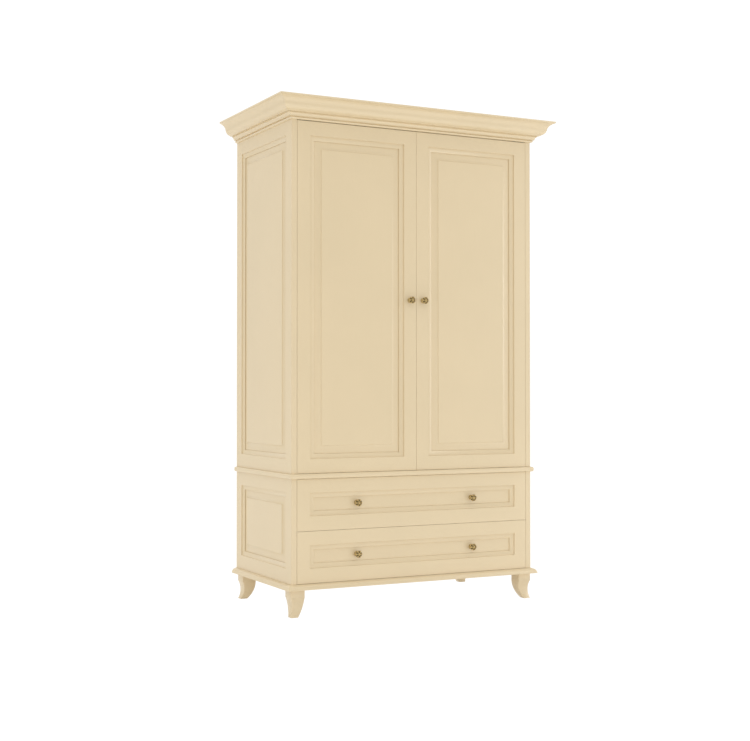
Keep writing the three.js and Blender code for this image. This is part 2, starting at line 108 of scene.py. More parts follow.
def loft(bm, rings, closed=False):
    """Quads between rings of points, with end faces unless the last ring joins the first."""
    loops = [[bm.verts.new(p) for p in ring] for ring in rings]
    pairs = list(zip(loops, loops[1:]))
    if closed:
        pairs.append((loops[-1], loops[0]))
    for a, b in pairs:
        for i in range(len(a)):
            j = (i + 1) % len(a)
            bm.faces.new((a[i], a[j], b[j], b[i]))
    if not closed:
        bm.faces.new(list(reversed(loops[0])))
        bm.faces.new(loops[-1])


def rectangle(x0, x1, z0, z1, depth):
    return [(x0, depth, z0), (x1, depth, z0), (x1, depth, z1), (x0, depth, z1)]


def soften(obj, width, segments=2, angle=30):
    """Rounds the hard edges and keeps the flats flat."""
    for polygon in obj.data.polygons:
        polygon.use_smooth = True
    bevel = obj.modifiers.new("edges", "BEVEL")
    bevel.width = width * MM
    bevel.segments = segments
    bevel.limit_method = "ANGLE"
    bevel.angle_limit = math.radians(angle)
    bevel.harden_normals = True
    return obj


def block(x0, x1, y0, y1, z0, z1):
    """A closed box mesh object, used only to cut with."""
    bm = bmesh.new()
    loft(bm, [rectangle(x0, x1, z0, z1, y0), rectangle(x0, x1, z0, z1, y1)])
    return mesh_object("cutter", bm)


def cut(obj, *cutters):
    """Subtracts each cutter from obj's mesh and removes it."""
    for cutter in cutters:
        modifier = obj.modifiers.new("cut", "BOOLEAN")
        modifier.operation = "DIFFERENCE"
        modifier.solver = "EXACT"
        modifier.object = cutter
    graph = bpy.context.evaluated_depsgraph_get()
    made = bpy.data.meshes.new_from_object(obj.evaluated_get(graph))
    obj.modifiers.clear()
    obj.data = made
    for cutter in cutters:
        bpy.data.objects.remove(cutter)
    return obj


def quadratic(start, control, end, steps):
    """Points of a quadratic curve after its start."""
    points = []
    for i in range(1, steps + 1):
        t = i / steps
        a, b, c = (1 - t) ** 2, 2 * t * (1 - t), t**2
        points.append(tuple(a * p + b * q + c * r for p, q, r in zip(start, control, end)))
    return points


def outline(start, *steps, divisions=10):
    """A polyline of straight steps (x, y) and quadratic steps (cx, cy, x, y)."""
    points = [start]
    for step in steps:
        if len(step) == 2:
            points.append(step)
        else:
            points += quadratic(points[-1], step[:2], step[2:], divisions)
    return points


# ---------------------------------------------------------------- materials
def nodes_of(name):
    material = bpy.data.materials.new(name)
    material.use_nodes = True
    tree = material.node_tree
    shader = next(n for n in tree.nodes if n.type == "BSDF_PRINCIPLED")
    return material, tree, shader


def add_node(tree, kind, **values):
    node = tree.nodes.new(kind)
    for key, value in values.items():
        if key in node.inputs:
            node.inputs[key].default_value = value
        else:
            setattr(node, key, value)
    return node


def coordinates(tree, stretch):
    """Object coordinates in metres, divided along the grain by stretch."""
    source = add_node(tree, "ShaderNodeTexCoord")
    mapping = add_node(tree, "ShaderNodeMapping")
    mapping.inputs["Scale"].default_value = stretch
    tree.links.new(source.outputs["Object"], mapping.inputs["Vector"])
    return mapping.outputs["Vector"]


def noise(tree, vector, scale, detail=4.0, roughness=0.5):
    node = add_node(tree, "ShaderNodeTexNoise")
    node.inputs["Scale"].default_value = scale
    node.inputs["Detail"].default_value = detail
    node.inputs["Roughness"].default_value = roughness
    tree.links.new(vector, node.inputs["Vector"])
    return node.outputs["Fac"]


def ramp(tree, factor, *stops):
    node = add_node(tree, "ShaderNodeValToRGB")
    elements = node.color_ramp.elements
    while len(elements) < len(stops):
        elements.new(0.5)
    for element, (position, color) in zip(elements, stops):
        element.position = position
        element.color = (*color, 1.0) if len(color) == 3 else color
    tree.links.new(factor, node.inputs["Fac"])
    return node.outputs["Color"]


def between(tree, factor, low, high):
    """A 0..1 factor mapped to the range low..high."""
    node = add_node(tree, "ShaderNodeMapRange")
    node.inputs["To Min"].default_value = low
    node.inputs["To Max"].default_value = high
    tree.links.new(factor, node.inputs["Value"])
    return node.outputs["Result"]


def mix_color(tree, factor, a, b, blend="MIX"):
    """A colour mix; sockets 6, 7 and output 2 are the node's colour ones."""
    node = add_node(tree, "ShaderNodeMix")
    node.data_type = "RGBA"
    node.blend_type = blend
    for socket, value in ((node.inputs[0], factor), (node.inputs[6], a), (node.inputs[7], b)):
        if hasattr(value, "links"):
            tree.links.new(value, socket)
        else:
            socket.default_value = value
    return node.outputs[2]


def bump(tree, shader, height, distance, strength=1.0, under=None):
    node = add_node(tree, "ShaderNodeBump")
    node.inputs["Distance"].default_value = distance
    node.inputs["Strength"].default_value = strength
    tree.links.new(height, node.inputs["Height"])
    if under is not None:
        tree.links.new(under, node.inputs["Normal"])
    tree.links.new(node.outputs["Normal"], shader.inputs["Normal"])
    return node.outputs["Normal"]


GRAIN = {"x": (0.06, 1, 1), "y": (1, 0.06, 1), "z": (1, 1, 0.06)}
PAINT = {"dark": (0.738, 0.603, 0.386), "light": (0.764, 0.623, 0.400)}


def cream_paint(grain):
    """Satin ivory paint: faint roller texture over wood whose grain just telegraphs through."""
    material, tree, shader = nodes_of(f"cream_paint_{grain}")
    even = coordinates(tree, (1, 1, 1))
    along = coordinates(tree, GRAIN[grain])
    cloud = noise(tree, even, 3.0, 3.0)
    color = ramp(tree, cloud, (0.30, PAINT["dark"]), (0.70, PAINT["light"]))
    figure = noise(tree, along, 160.0, 3.0, 0.6)
    color = mix_color(tree, between(tree, figure, 0.0, 0.05), color, (*PAINT["dark"], 1), "MULTIPLY")
    tree.links.new(color, shader.inputs["Base Color"])
    rough = noise(tree, even, 38.0, 4.0)
    tree.links.new(between(tree, rough, 0.27, 0.36), shader.inputs["Roughness"])
    grain_bump = bump(tree, shader, figure, 0.00012, 0.35)
    bump(tree, shader, noise(tree, even, 900.0, 2.0), 0.00006, 0.4, grain_bump)
    shader.inputs["Specular IOR Level"].default_value = 0.5
    return material


def bare_wood(name, grain, light, dark, pore, scale=1.0):
    """Clear-finished timber: growth figure along the grain, fine pores and a satin surface."""
    material, tree, shader = nodes_of(f"{name}_{grain}")
    along = coordinates(tree, GRAIN[grain])
    even = coordinates(tree, (1, 1, 1))
    figure = noise(tree, along, 26.0 * scale, 6.0, 0.62)
    color = ramp(tree, figure, (0.28, dark), (0.52, light), (0.78, dark))
    pores = noise(tree, along, 420.0 * scale, 2.0, 0.7)
    fleck = ramp(tree, pores, (0.60, (0, 0, 0)), (0.72, (1, 1, 1)))
    color = mix_color(tree, fleck, color, (*pore, 1))
    cloud = noise(tree, even, 5.0, 2.0)
    color = mix_color(tree, between(tree, cloud, 0.0, 0.25), color, (*dark, 1))
    tree.links.new(color, shader.inputs["Base Color"])
    tree.links.new(between(tree, pores, 0.42, 0.62), shader.inputs["Roughness"])
    bump(tree, shader, pores, 0.0001, 0.5)
    return material


def brushed_steel():
    material, tree, shader = nodes_of("hinge_steel")
    lines = noise(tree, coordinates(tree, (0.04, 1, 1)), 1400.0, 2.0)
    spots = noise(tree, coordinates(tree, (1, 1, 1)), 60.0, 3.0)
    color = ramp(tree, spots, (0.3, (0.50, 0.50, 0.49)), (0.7, (0.62, 0.62, 0.61)))
    tree.links.new(color, shader.inputs["Base Color"])
    tree.links.new(between(tree, lines, 0.24, 0.42), shader.inputs["Roughness"])
    bump(tree, shader, lines, 0.00004, 0.5)
    shader.inputs["Metallic"].default_value = 1.0
    return material


def polished_chrome():
    material, tree, shader = nodes_of("chrome_rail")
    haze = noise(tree, coordinates(tree, (0.1, 1, 1)), 240.0, 4.0)
    color = ramp(tree, haze, (0.3, (0.66, 0.67, 0.68)), (0.7, (0.74, 0.75, 0.76)))
    tree.links.new(color, shader.inputs["Base Color"])
    tree.links.new(between(tree, haze, 0.06, 0.17), shader.inputs["Roughness"])
    bump(tree, shader, haze, 0.00002, 0.3)
    shader.inputs["Metallic"].default_value = 1.0
    return material


def antique_brass():
    """Cast brass, polished on its high parts; the mesh's relief attribute darkens the hollows."""
    material, tree, shader = nodes_of("antique_brass")
    even = coordinates(tree, (1, 1, 1))
    cloud = noise(tree, even, 220.0, 4.0, 0.6)
    metal = ramp(tree, cloud, (0.30, (0.44, 0.315, 0.13)), (0.70, (0.62, 0.455, 0.205)))
    relief = add_node(tree, "ShaderNodeAttribute", attribute_name="relief")
    color = mix_color(tree, relief.outputs["Fac"], metal, (0.03, 0.02, 0.008, 1))
    tree.links.new(color, shader.inputs["Base Color"])
    tree.links.new(between(tree, cloud, 0.20, 0.36), shader.inputs["Roughness"])
    bump(tree, shader, noise(tree, even, 1300.0, 3.0), 0.00005, 0.4)
    shader.inputs["Metallic"].default_value = 1.0
    return material


def black_plastic():
    material, tree, shader = nodes_of("black_plastic")
    even = coordinates(tree, (1, 1, 1))
    cells = noise(tree, even, 1800.0, 2.0)
    color = ramp(tree, noise(tree, even, 30.0), (0.3, (0.012, 0.012, 0.013)), (0.7, (0.02, 0.02, 0.021)))
    tree.links.new(color, shader.inputs["Base Color"])
    tree.links.new(between(tree, cells, 0.42, 0.6), shader.inputs["Roughness"])
    bump(tree, shader, cells, 0.00006, 0.6)
    return material


CREAM = {axis: cream_paint(axis) for axis in "xyz"}
BEECH = {
    axis: bare_wood("beech", axis, (0.62, 0.40, 0.215), (0.52, 0.315, 0.155), (0.36, 0.20, 0.09))
    for axis in "xyz"
}
PLY = {
    axis: bare_wood("plywood", axis, (0.70, 0.53, 0.33), (0.60, 0.43, 0.24), (0.46, 0.30, 0.15), 0.6)
    for axis in "xz"
}
BEECH_END = bare_wood("beech_end", "x", (0.46, 0.27, 0.125), (0.36, 0.20, 0.085), (0.24, 0.13, 0.05))
STEEL = brushed_steel()
CHROME = polished_chrome()
BRASS = antique_brass()
PLASTIC = black_plastic()


def finish_piece(obj, body, slot, *materials, replaces=()):
    for material in materials:
        obj.data.materials.append(material)
    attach(obj, body)
    if replaces:
        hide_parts(*replaces)
    return obj


def keep(node, material, width=0.8):
    """A CAD node that stays: welded, its flats made whole, its edges eased, its finish given."""
    obj = frame["nodes"][node]
    obj.data.materials.clear()
    obj.data.materials.append(material)
    weld = obj.modifiers.new("weld", "WELD")
    weld.merge_threshold = 0.01 * MM
    flats = obj.modifiers.new("flats", "DECIMATE")
    flats.decimate_type = "DISSOLVE"
    flats.angle_limit = math.radians(1)
    return soften(obj, width)


# ---------------------------------------------------------------- frames and panels
def stand(node, facing):
    """The matrix from a frame's own axes (x across its face, y into it, z up) to its place."""
    low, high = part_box(node)
    if facing == "front":
        size = high - low
        return Matrix.Translation(low), (size.x, size.z, size.y)
    low.z -= JOINT * MM
    high.z += JOINT * MM
    size = high - low
    sign = -1 if facing == "left" else 1
    corner = Vector((low.x, high.y, low.z)) if sign < 0 else Vector((high.x, low.y, low.z))
    turn = Matrix(((0, -sign, 0), (sign, 0, 0), (0, 0, 1))).to_4x4()
    return Matrix.Translation(corner) @ turn, (size.y, size.z, size.x)


def inset_ring(size, border, inset, depth):
    """A rectangle inside the border by inset, or round its outer edge when inset is None.

    The border gives the bottom and top widths, and BORDER the width at the sides.
    """
    width, height = size
    if inset is None:
        return rectangle(0, width, 0, height, depth * MM)
    side, low, top = ((edge + inset) * MM for edge in (BORDER, *border))
    return rectangle(side, width - side, low, height - top, depth * MM)


# The moulded inner edge of each frame as inset from the border and depth: a fillet, a bevel and
# a quirk down to the band; then the panel's slope up to its raised field.
FRONT = {
    "sticking": ((0, 0), (0, 5), (3, 5), (STICKING_WIDTH, 10.5), (STICKING_WIDTH, 15)),
    "field": ((42, 15.3), (54.8, 10.6), (55, 8.6)),
}
SIDE = {
    "sticking": ((0, 0), (0, 3.6), (3, 3.6), (STICKING_WIDTH, 8.6), (STICKING_WIDTH, 12)),
    "field": ((42, 12.3), (54.8, 7.4), (55, 5.6)),
}


def frame_mesh(name, size, border, thickness, section):
    groove = STICKING_WIDTH - GROOVE["depth"]
    band = section["sticking"][-1][1]
    groove_back = band + GROOVE["thickness"]
    edge = list(section["sticking"])
    edge += [(groove, band), (groove, groove_back), (STICKING_WIDTH, groove_back)]
    edge += [(STICKING_WIDTH, thickness / MM)]
    rings = [inset_ring(size, border, None, 0)]
    rings += [inset_ring(size, border, inset, depth) for inset, depth in edge]
    rings += [inset_ring(size, border, None, thickness / MM)]
    bm = bmesh.new()
    loft(bm, rings, closed=True)
    return mesh_object(name, bm)


def panel_mesh(name, size, border, section):
    front = section["sticking"][-1][1] + SEAM
    edge = [(TONGUE_INSET, front + TONGUE_THICKNESS), (TONGUE_INSET, front), *section["field"]]
    bm = bmesh.new()
    loft(bm, [inset_ring(size, border, inset, depth) for inset, depth in edge])
    return mesh_object(name, bm)


def grain_faces(obj, size, border):
    """Stiles take the first material, grain up; rails take the second, grain across."""
    for polygon in obj.data.polygons:
        centre = polygon.center
        along_x = min(centre.x, size[0] - centre.x) / (BORDER + STICKING_WIDTH)
        up = centre.z / (border[0] + STICKING_WIDTH)
        down = (size[1] - centre.z) / (border[1] + STICKING_WIDTH)
        along_z = min(up, down)
        polygon.material_index = 1 if along_z < along_x else 0


def framed(node_frame, node_panel, facing, body, border, cutters=()):
    """A frame and its raised panel, in place of their CAD nodes."""
    matrix, (width, height, thickness) = stand(node_frame, facing)
    size = (width, height)
    rails, section = ("x", FRONT) if facing == "front" else ("y", SIDE)
    piece = frame_mesh(f"{node_frame}_moulded", size, border, thickness, section)
    grain_faces(piece, size, border)
    piece.data.transform(matrix)
    if cutters:
        piece = cut(piece, *cutters)
    soften(piece, EASED["frame"])
    finish_piece(piece, body, "cream_paint", CREAM["z"], CREAM[rails], replaces=[node_frame])

    panel = panel_mesh(f"{node_panel}_raised", size, border, section)
    panel.data.transform(matrix)
    soften(panel, EASED["frame"])
    finish_piece(panel, body, "cream_paint", CREAM["z"], replaces=[node_panel])


def side_walls():
    borders = {
        "lower": (BORDER + LOWER_PANEL_RISE, BORDER - LOWER_PANEL_RISE),
        "upper": (BORDER, BORDER + BOARD_THICKNESS),
    }
    for level in LEVELS:
        for side, sign in SIDES:
            node = f"{level}_side_frame_{side}"
            low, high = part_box(node)
            inner = high.x if sign < 0 else low.x
            ends = sorted((inner + sign * REBATE["width"] * MM, inner - sign * PAST))
            front = high.y - REBATE["depth"] * MM
            rebate = block(*ends, front, high.y + PAST, low.z - PAST, high.z + PAST)
            framed(node, f"{level}_side_panel_{side}", side, "carcass", borders[level], [rebate])


def plate_cutter(node, up):
    """The mortise for a pivot plate, open above or below the board it is let into."""
    low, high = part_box(node)
    seam = SEAM * MM
    z0, z1 = (low.z - seam, high.z + PAST) if up > 0 else (low.z - PAST, high.z + seam)
    return block(low.x - seam, high.x + seam, low.y - seam, high.y + seam, z0, z1)


def doors():
    for side, _ in SIDES:
        door = f"{side}_door"
        cutters = [plate_cutter(f"{door}_pivot_{end}", up) for end, up in ENDS]
        framed(f"{door}_frame", f"{door}_panel", "front", door, (BORDER, BORDER), cutters)
        for end, _ in ENDS:
            keep(f"{door}_pivot_{end}", STEEL, EASED["thin"])
            keep(f"case_pivot_{end}_{side}", STEEL, EASED["thin"])


# ---------------------------------------------------------------- boards and mouldings
def moulded_board(node, edge):
    """A board whose front and ends carry an edge: points of overhang and height from the top down."""
    low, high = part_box(node)
    front = low.y + max(over for over, _ in edge) * MM
    half = BODY_HALF * MM
    bm = bmesh.new()
    rings = []
    for over, height in edge:
        reach, z = over * MM, low.z + height * MM
        x, y = half + reach, front - reach
        rings.append([(-x, y, z), (x, y, z), (x, high.y, z), (-x, high.y, z)])
    loft(bm, rings)
    return mesh_object(f"{node}_moulded", bm)


def board_edge(node):
    """A board's thickness and overhang in millimetres."""
    low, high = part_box(node)
    return (high.z - low.z) / MM, -(low.x / MM) - BODY_HALF


def boards():
    thick, over = board_edge("base_board")
    edge = outline((5, thick), (5.5, thick - 2), (over - 4, thick - 2.5, over, 3), (over, 0))
    piece = moulded_board("base_board", edge)
    soften(piece, EASED["board"])
    finish_piece(piece, "carcass", "cream_paint", CREAM["x"], replaces=["base_board"])

    thick, over = board_edge("waist_board")
    back = over - NOSE
    nose = outline((back, thick), (over, thick, over, thick - NOSE), (over, NOSE), (over, 0, back, 0))
    piece = moulded_board("waist_board", nose)
    cut(piece, *[plate_cutter(f"case_pivot_bottom_{side}", 1) for side, _ in SIDES])
    soften(piece, EASED["bullnose"])
    finish_piece(piece, "carcass", "cream_paint", CREAM["x"], replaces=["waist_board"])

    keep("top_board", CREAM["x"])


def cornice_section(height, over):
    """The cornice as overhang and height: quirked bead, cove, cyma, fascia, and its cut back."""
    fascia = height - FASCIA["height"]
    return outline(
        (0, 0),
        (9.5, 0.5, 10.5, 6),
        (10.3, 9, 8, 10),
        (8, 11.2),
        (16, 11.2),
        (16, 13),
        (18, 23, 25, 24.6),
        (23.5, 26),
        (23.5, 29),
        (34.5, 29),
        (35.5, 30.6),
        (53, 36, 57, 54),
        (60, 75, over - FASCIA["lip"], fascia),
        (over, fascia),
        (over, height),
        (CORNICE_BACK["top"], height),
        (0, CORNICE_BACK["low"]),
    )


def cornice_length(node, grain, start, end):
    """One length of cornice between two outlines of its section."""
    bm = bmesh.new()
    loft(bm, [start, end])
    piece = mesh_object(f"{node}_moulded", bm)
    soften(piece, EASED["cornice"], 2, 25)
    finish_piece(piece, "carcass", "cream_paint", CREAM[grain], replaces=[node])


def cornice():
    low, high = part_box("cornice_front")
    section = cornice_section((high.z - low.z) / MM, (high.y - low.y) / MM)
    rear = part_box("cornice_left")[1].y
    half, face = BODY_HALF * MM, high.y
    mitres = {
        side: [(sign * (half + o * MM), face - o * MM, low.z + h * MM) for o, h in section]
        for side, sign in SIDES
    }
    cornice_length("cornice_front", "x", mitres["left"], mitres["right"])
    for side, _ in SIDES:
        square = [(x, rear, z) for x, _, z in mitres[side]]
        cornice_length(f"cornice_{side}", "y", mitres[side], square)
    keep("cornice_back_rail", CREAM["x"])


# ---------------------------------------------------------------- legs
def leg_sections():
    """Pairs of outer and inner offset from the leg's corner at each height, from the top down."""
    outer = outline((0, LEG_TOP), (0, 82), (8.2, 66, 8.2, 42), (8.2, 18, 0, 0), divisions=12)
    inner = outline((LEG_BLOCK, LEG_TOP), (LEG_BLOCK, 80), (LEG_BLOCK - 1, 36, 33, 0), divisions=24)
    heights = sorted({round(z, 4) for _, z in outer} | {round(z, 4) for _, z in inner}, reverse=True)
    return [(at_height(outer, z), at_height(inner, z), z) for z in heights]


def at_height(points, z):
    for (a, za), (b, zb) in zip(points, points[1:]):
        if zb <= z <= za and za > zb:
            return a + (b - a) * (za - z) / (za - zb)
    return points[-1][0]


def rounded_square(low, high, radius):
    """Points round a square from low to high on both axes, its corners rounded."""
    steps = 4
    centres = ((high - radius, high - radius), (low + radius, high - radius))
    centres += ((low + radius, low + radius), (high - radius, low + radius))
    points = []
    for quarter, (cx, cy) in enumerate(centres):
        for i in range(steps):
            a = (quarter + i / (steps - 1)) * math.pi / 2
            points.append((cx + radius * math.cos(a), cy + radius * math.sin(a)))
    return points


def legs():
    sections = leg_sections()
    for row, into in (("front", 1), ("rear", -1)):
        for side, sign in SIDES:
            node = f"leg_{row}_{side}"
            low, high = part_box(node)
            corner_x = low.x if sign < 0 else high.x
            corner_y = low.y if into > 0 else high.y
            bm = bmesh.new()
            rings = []
            for outer, inner, z in sections:
                square = rounded_square(outer, inner, LEG_CORNER)
                ring = [(corner_x - sign * a * MM, corner_y + into * b * MM, z * MM) for a, b in square]
                rings.append(ring)
            loft(bm, rings)
            piece = mesh_object(f"{node}_shaped", bm)
            soften(piece, EASED["leg"], 2, 35)
            finish_piece(piece, "carcass", "cream_paint", CREAM["z"], replaces=[node])


# ---------------------------------------------------------------- knobs
KNOB_PROFILE = (
    (0, 0), (11.6, 0), (12.0, 0.7), (11.6, 1.6), (10.6, 2.4), (9.2, 2.9), (8.0, 3.0),
    (7.8, 3.9), (7.1, 4.6), (6.2, 5.0), (5.4, 6.4), (4.7, 8.8), (4.5, 11.5), (4.8, 14.2),
    (5.8, 16.6), (7.4, 18.0), (8.4, 18.6), (8.5, 19.4), (11.5, 19.9), (14.0, 20.9),
    (15.6, 22.4), (16.0, 24.2), (15.5, 26.0), (14.2, 27.6), (12.4, 28.8), (10.4, 29.7),
    (8.6, 30.1), (7.4, 29.6), (6.6, 29.4), (6.2, 30.2), (5.4, 31.1), (4.0, 31.7),
    (2.0, 32.0), (0, 32.1),
)
PETALS = 6


def smooth_step(start, end, value):
    t = min(1, max(0, (value - start) / (end - start)))
    return t * t * (3 - 2 * t)


def knob_point(radius, out, angle):
    """A point's radius, its height from the back and its relief, with the petals cut in."""
    petal = 0.5 + 0.5 * math.cos(PETALS * angle)
    hollow = (1 - petal) ** 1.6
    head = smooth_step(19.5, 22.5, out) * smooth_step(5.5, 9.5, radius)
    rosette = smooth_step(3.2, 2.2, out) * smooth_step(7.5, 10.0, radius)
    crown = smooth_step(8.2, 11.0, radius) * smooth_step(24, 28, out)
    button = smooth_step(6.2, 6.8, radius) * smooth_step(8.8, 7.8, radius)
    groove = button * smooth_step(28, 29, out)
    relief = 1.2 * head * hollow ** 1.5 + groove + 0.4 * rosette * hollow
    return radius * (1 - 0.10 * head * hollow - 0.05 * rosette * hollow), out - 2.2 * hollow * crown, relief


def knob(node, body):
    """A cast knob: rosette, turned neck and a head of rounded petals round a button."""
    low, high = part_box(node)
    centre = (low + high) / 2
    turns = PETALS * 12
    bm = bmesh.new()
    layer = bm.verts.layers.float.new("relief")
    loops = []
    for radius, out in KNOB_PROFILE[1:-1]:
        loop = []
        for i in range(turns):
            angle = 2 * math.pi * i / turns
            r, h, relief = knob_point(radius, out, angle)
            x, z = centre.x + r * math.cos(angle) * MM, centre.z + r * math.sin(angle) * MM
            vert = bm.verts.new((x, high.y - h * MM, z))
            vert[layer] = min(1.0, relief)
            loop.append(vert)
        loops.append(loop)
    for a, b in zip(loops, loops[1:]):
        for i in range(turns):
            j = (i + 1) % turns
            bm.faces.new((a[i], a[j], b[j], b[i]))
    for loop, out in ((loops[0], KNOB_PROFILE[0][1]), (loops[-1], KNOB_PROFILE[-1][1])):
        tip = bm.verts.new((centre.x, high.y - out * MM, centre.z))
        for i in range(turns):
            bm.faces.new((loop[i], loop[(i + 1) % turns], tip))
    piece = mesh_object(f"{node}_cast", bm)
    for polygon in piece.data.polygons:
        polygon.use_smooth = True
    fine = piece.modifiers.new("round", "SUBSURF")
    fine.levels = fine.render_levels = 1
    finish_piece(piece, body, "antique_brass", BRASS, replaces=[node])


# ---------------------------------------------------------------- drawers
def drawer(level):
    body = f"{level}_drawer"
    node = f"{level}_drawer_front"
    matrix, (width, height, thickness) = stand(node, "front")
    border = (BORDER + LOWER_PANEL_RISE, BORDER - LOWER_PANEL_RISE)
    size = (width, height)
    rings = [inset_ring(size, border, None, thickness / MM), inset_ring(size, border, None, 0)]
    rings += [inset_ring(size, border, inset, depth) for inset, depth in FRONT["sticking"]]
    bm = bmesh.new()
    loft(bm, rings)
    front = mesh_object(f"{node}_moulded", bm)
    front.data.transform(matrix)
    low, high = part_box(f"{level}_drawer_bottom")
    seam = SEAM * MM
    slot = block(low.x - seam, high.x + seam, low.y - seam, high.y, low.z - seam, high.z + seam)
    cut(front, slot)
    soften(front, EASED["frame"])
    finish_piece(front, body, "cream_paint", CREAM["x"], replaces=[node])

    keep(f"{level}_drawer_bottom", PLY["x"], EASED["thin"])
    keep(f"{level}_drawer_back", BEECH["x"])
    for side, _ in SIDES:
        keep(f"{level}_drawer_side_{side}", BEECH["y"])
        keep(f"{level}_runner_{side}", BEECH["y"])
        knob(f"{level}_drawer_knob_{side}", body)


# ---------------------------------------------------------------- inside
def interior():
    keep("hat_shelf", CREAM["x"], 1.2)
    keep("hanging_rail", CHROME, EASED["thin"])
    keep("door_catch", PLASTIC, 1.0)
    for side, _ in SIDES:
        keep(f"shelf_cleat_{side}", CREAM["y"])
        keep(f"rail_socket_{side}", CHROME, EASED["thin"])


# ---------------------------------------------------------------- small hardware
# Turned sections as radius and height over the surface the piece is fixed to, millimetres.
FLAT_HEAD = {"radius": 3.2, "height": 0.35, "under": 1.0}
ROUND_HEAD = {"radius": 3.4, "height": 1.5, "under": 0.5}
PANEL_HEAD = {"radius": 3.0, "height": 0.3, "under": 0.2}
WASHER = ((0, -0.2), (7.0, -0.2), (7.0, 0.7), (6.6, 1.0), (0, 1.0))
DISH = ((0, -1.8), (3.4, -1.8), (4.6, 0.2), (0, 0.2))
POINTS_ROUND = 16
PIVOT_SCREWS = (7, 41, 53)  # from the outer end of each plate, clear of the pin
BACK_MARGIN = 6  # from the edge of a back panel to its screws
SUNK = 1.8  # how deep the back's screw heads lie in their dishes
SOCKET = {"flange": 2.8, "ring": 19.5}
WOOD_SCREW_INSET = 40  # from the ends of cleats and runners
MAGNET = {"inner": 7, "outer": 27, "bottom": 3, "top": 4, "proud": 0.15, "deep": 1}
DOVETAIL = {
    "shares": (0.10, 0.31, 0.69, 0.90),
    "end": 0.2,
    "front": 10,
    "rear": 13,
    "narrow": 3.5,
    "wide": 6,
    "sunk": 1,
    "proud": 0.12,
}
STRIKE = {"inner": 5, "outer": 31, "bottom": 0.5, "top": 3.5, "thickness": 0.9}


def placed(place, outward):
    """Turns +Z to the outward direction and moves the origin to a place."""
    return Matrix.Translation(place) @ Vector(outward).to_track_quat("Z", "Y").to_matrix().to_4x4()


def ring_of(matrix, radii, height):
    points = []
    for i in range(POINTS_ROUND):
        angle = 2 * math.pi * i / POINTS_ROUND
        radius = radii[i % len(radii)] * MM
        points.append(matrix @ Vector((radius * math.cos(angle), radius * math.sin(angle), height * MM)))
    return points


def screw_head(bm, matrix, head):
    """A low screw head with a cross recess, from just under the surface to its crown."""
    radius, height = head["radius"], head["height"]
    cross = (0.56, 0.22, 0.15, 0.22)
    rings = [
        ring_of(matrix, (radius,), -head["under"]),
        ring_of(matrix, (radius,), height * 0.3),
        ring_of(matrix, (radius * 0.86,), height * 0.8),
        ring_of(matrix, (radius * 0.62,), height),
        ring_of(matrix, [radius * c for c in cross], height),
        ring_of(matrix, [radius * c * 0.7 for c in cross], height * 0.15),
    ]
    loft(bm, rings)


def turned(bm, matrix, section):
    """A closed turned solid; its section starts and ends on the axis."""
    loft(bm, [ring_of(matrix, (radius,), height) for radius, height in section[1:-1]])


def screws(name, body, places, outward, head=FLAT_HEAD, under=()):
    """Screws in one piece of hardware, all facing one way, with washers where a section is given."""
    bm = bmesh.new()
    for place in places:
        matrix = placed(place, outward)
        if under:
            turned(bm, matrix, under)
            matrix = placed(Vector(place) + Vector(outward) * under[-1][1] * MM, outward)
        screw_head(bm, matrix, head)
    piece = mesh_object(name, bm)
    for polygon in piece.data.polygons:
        polygon.use_smooth = len(polygon.vertices) == 4
    return finish_piece(piece, body, "hinge_steel", STEEL)


def spread(start, end, count):
    return [start + (end - start) * i / (count - 1) for i in range(count)]


def pivot_screws():
    """Three screws in each pivot plate."""
    for side, sign in SIDES:
        for end, up in ENDS:
            case_low, case_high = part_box(f"case_pivot_{end}_{side}")
            door_low, door_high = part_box(f"{side}_door_frame")
            y = (case_low.y + case_high.y) / 2
            outer = case_high.x if sign > 0 else case_low.x
            xs = [outer - sign * inset * MM for inset in PIVOT_SCREWS]
            case_z = case_low.z if up > 0 else case_high.z
            door_z = door_high.z if up > 0 else door_low.z
            halves = (("case", "carcass", case_z, -up), ("door", f"{side}_door", door_z, up))
            for owner, body, z, facing in halves:
                places = [(x, y, z) for x in xs]
                screws(f"{owner}_pivot_screws_{end}_{side}", body, places, (0, 0, facing))


def back_panels():
    """Thin ply backs with a row of countersunk screws round the edge."""
    for level, grain, rows in (("lower", "x", 3), ("upper", "z", 7)):
        node = f"{level}_back_panel"
        low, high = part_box(node)
        margin = BACK_MARGIN * MM
        xs = spread(low.x + margin, high.x - margin, 6)
        zs = spread(low.z + margin, high.z - margin, rows)
        places = [(x, high.y, z) for x in xs for z in (zs[0], zs[-1])]
        places += [(x, high.y, z) for x in (xs[0], xs[-1]) for z in zs[1:-1]]
        bm = bmesh.new()
        for place in places:
            turned(bm, placed(place, (0, 1, 0)), DISH)
        dishes = mesh_object("dishes", bm)
        panel = block(low.x, high.x, low.y, high.y, low.z, high.z)
        panel.name = f"{node}_drilled"
        cut(panel, dishes)
        finish_piece(panel, "carcass", "plywood", PLY[grain], replaces=[node])
        sunk = [(x, y - SUNK * MM, z) for x, y, z in places]
        screws(f"{node}_screws", "carcass", sunk, (0, 1, 0), PANEL_HEAD)


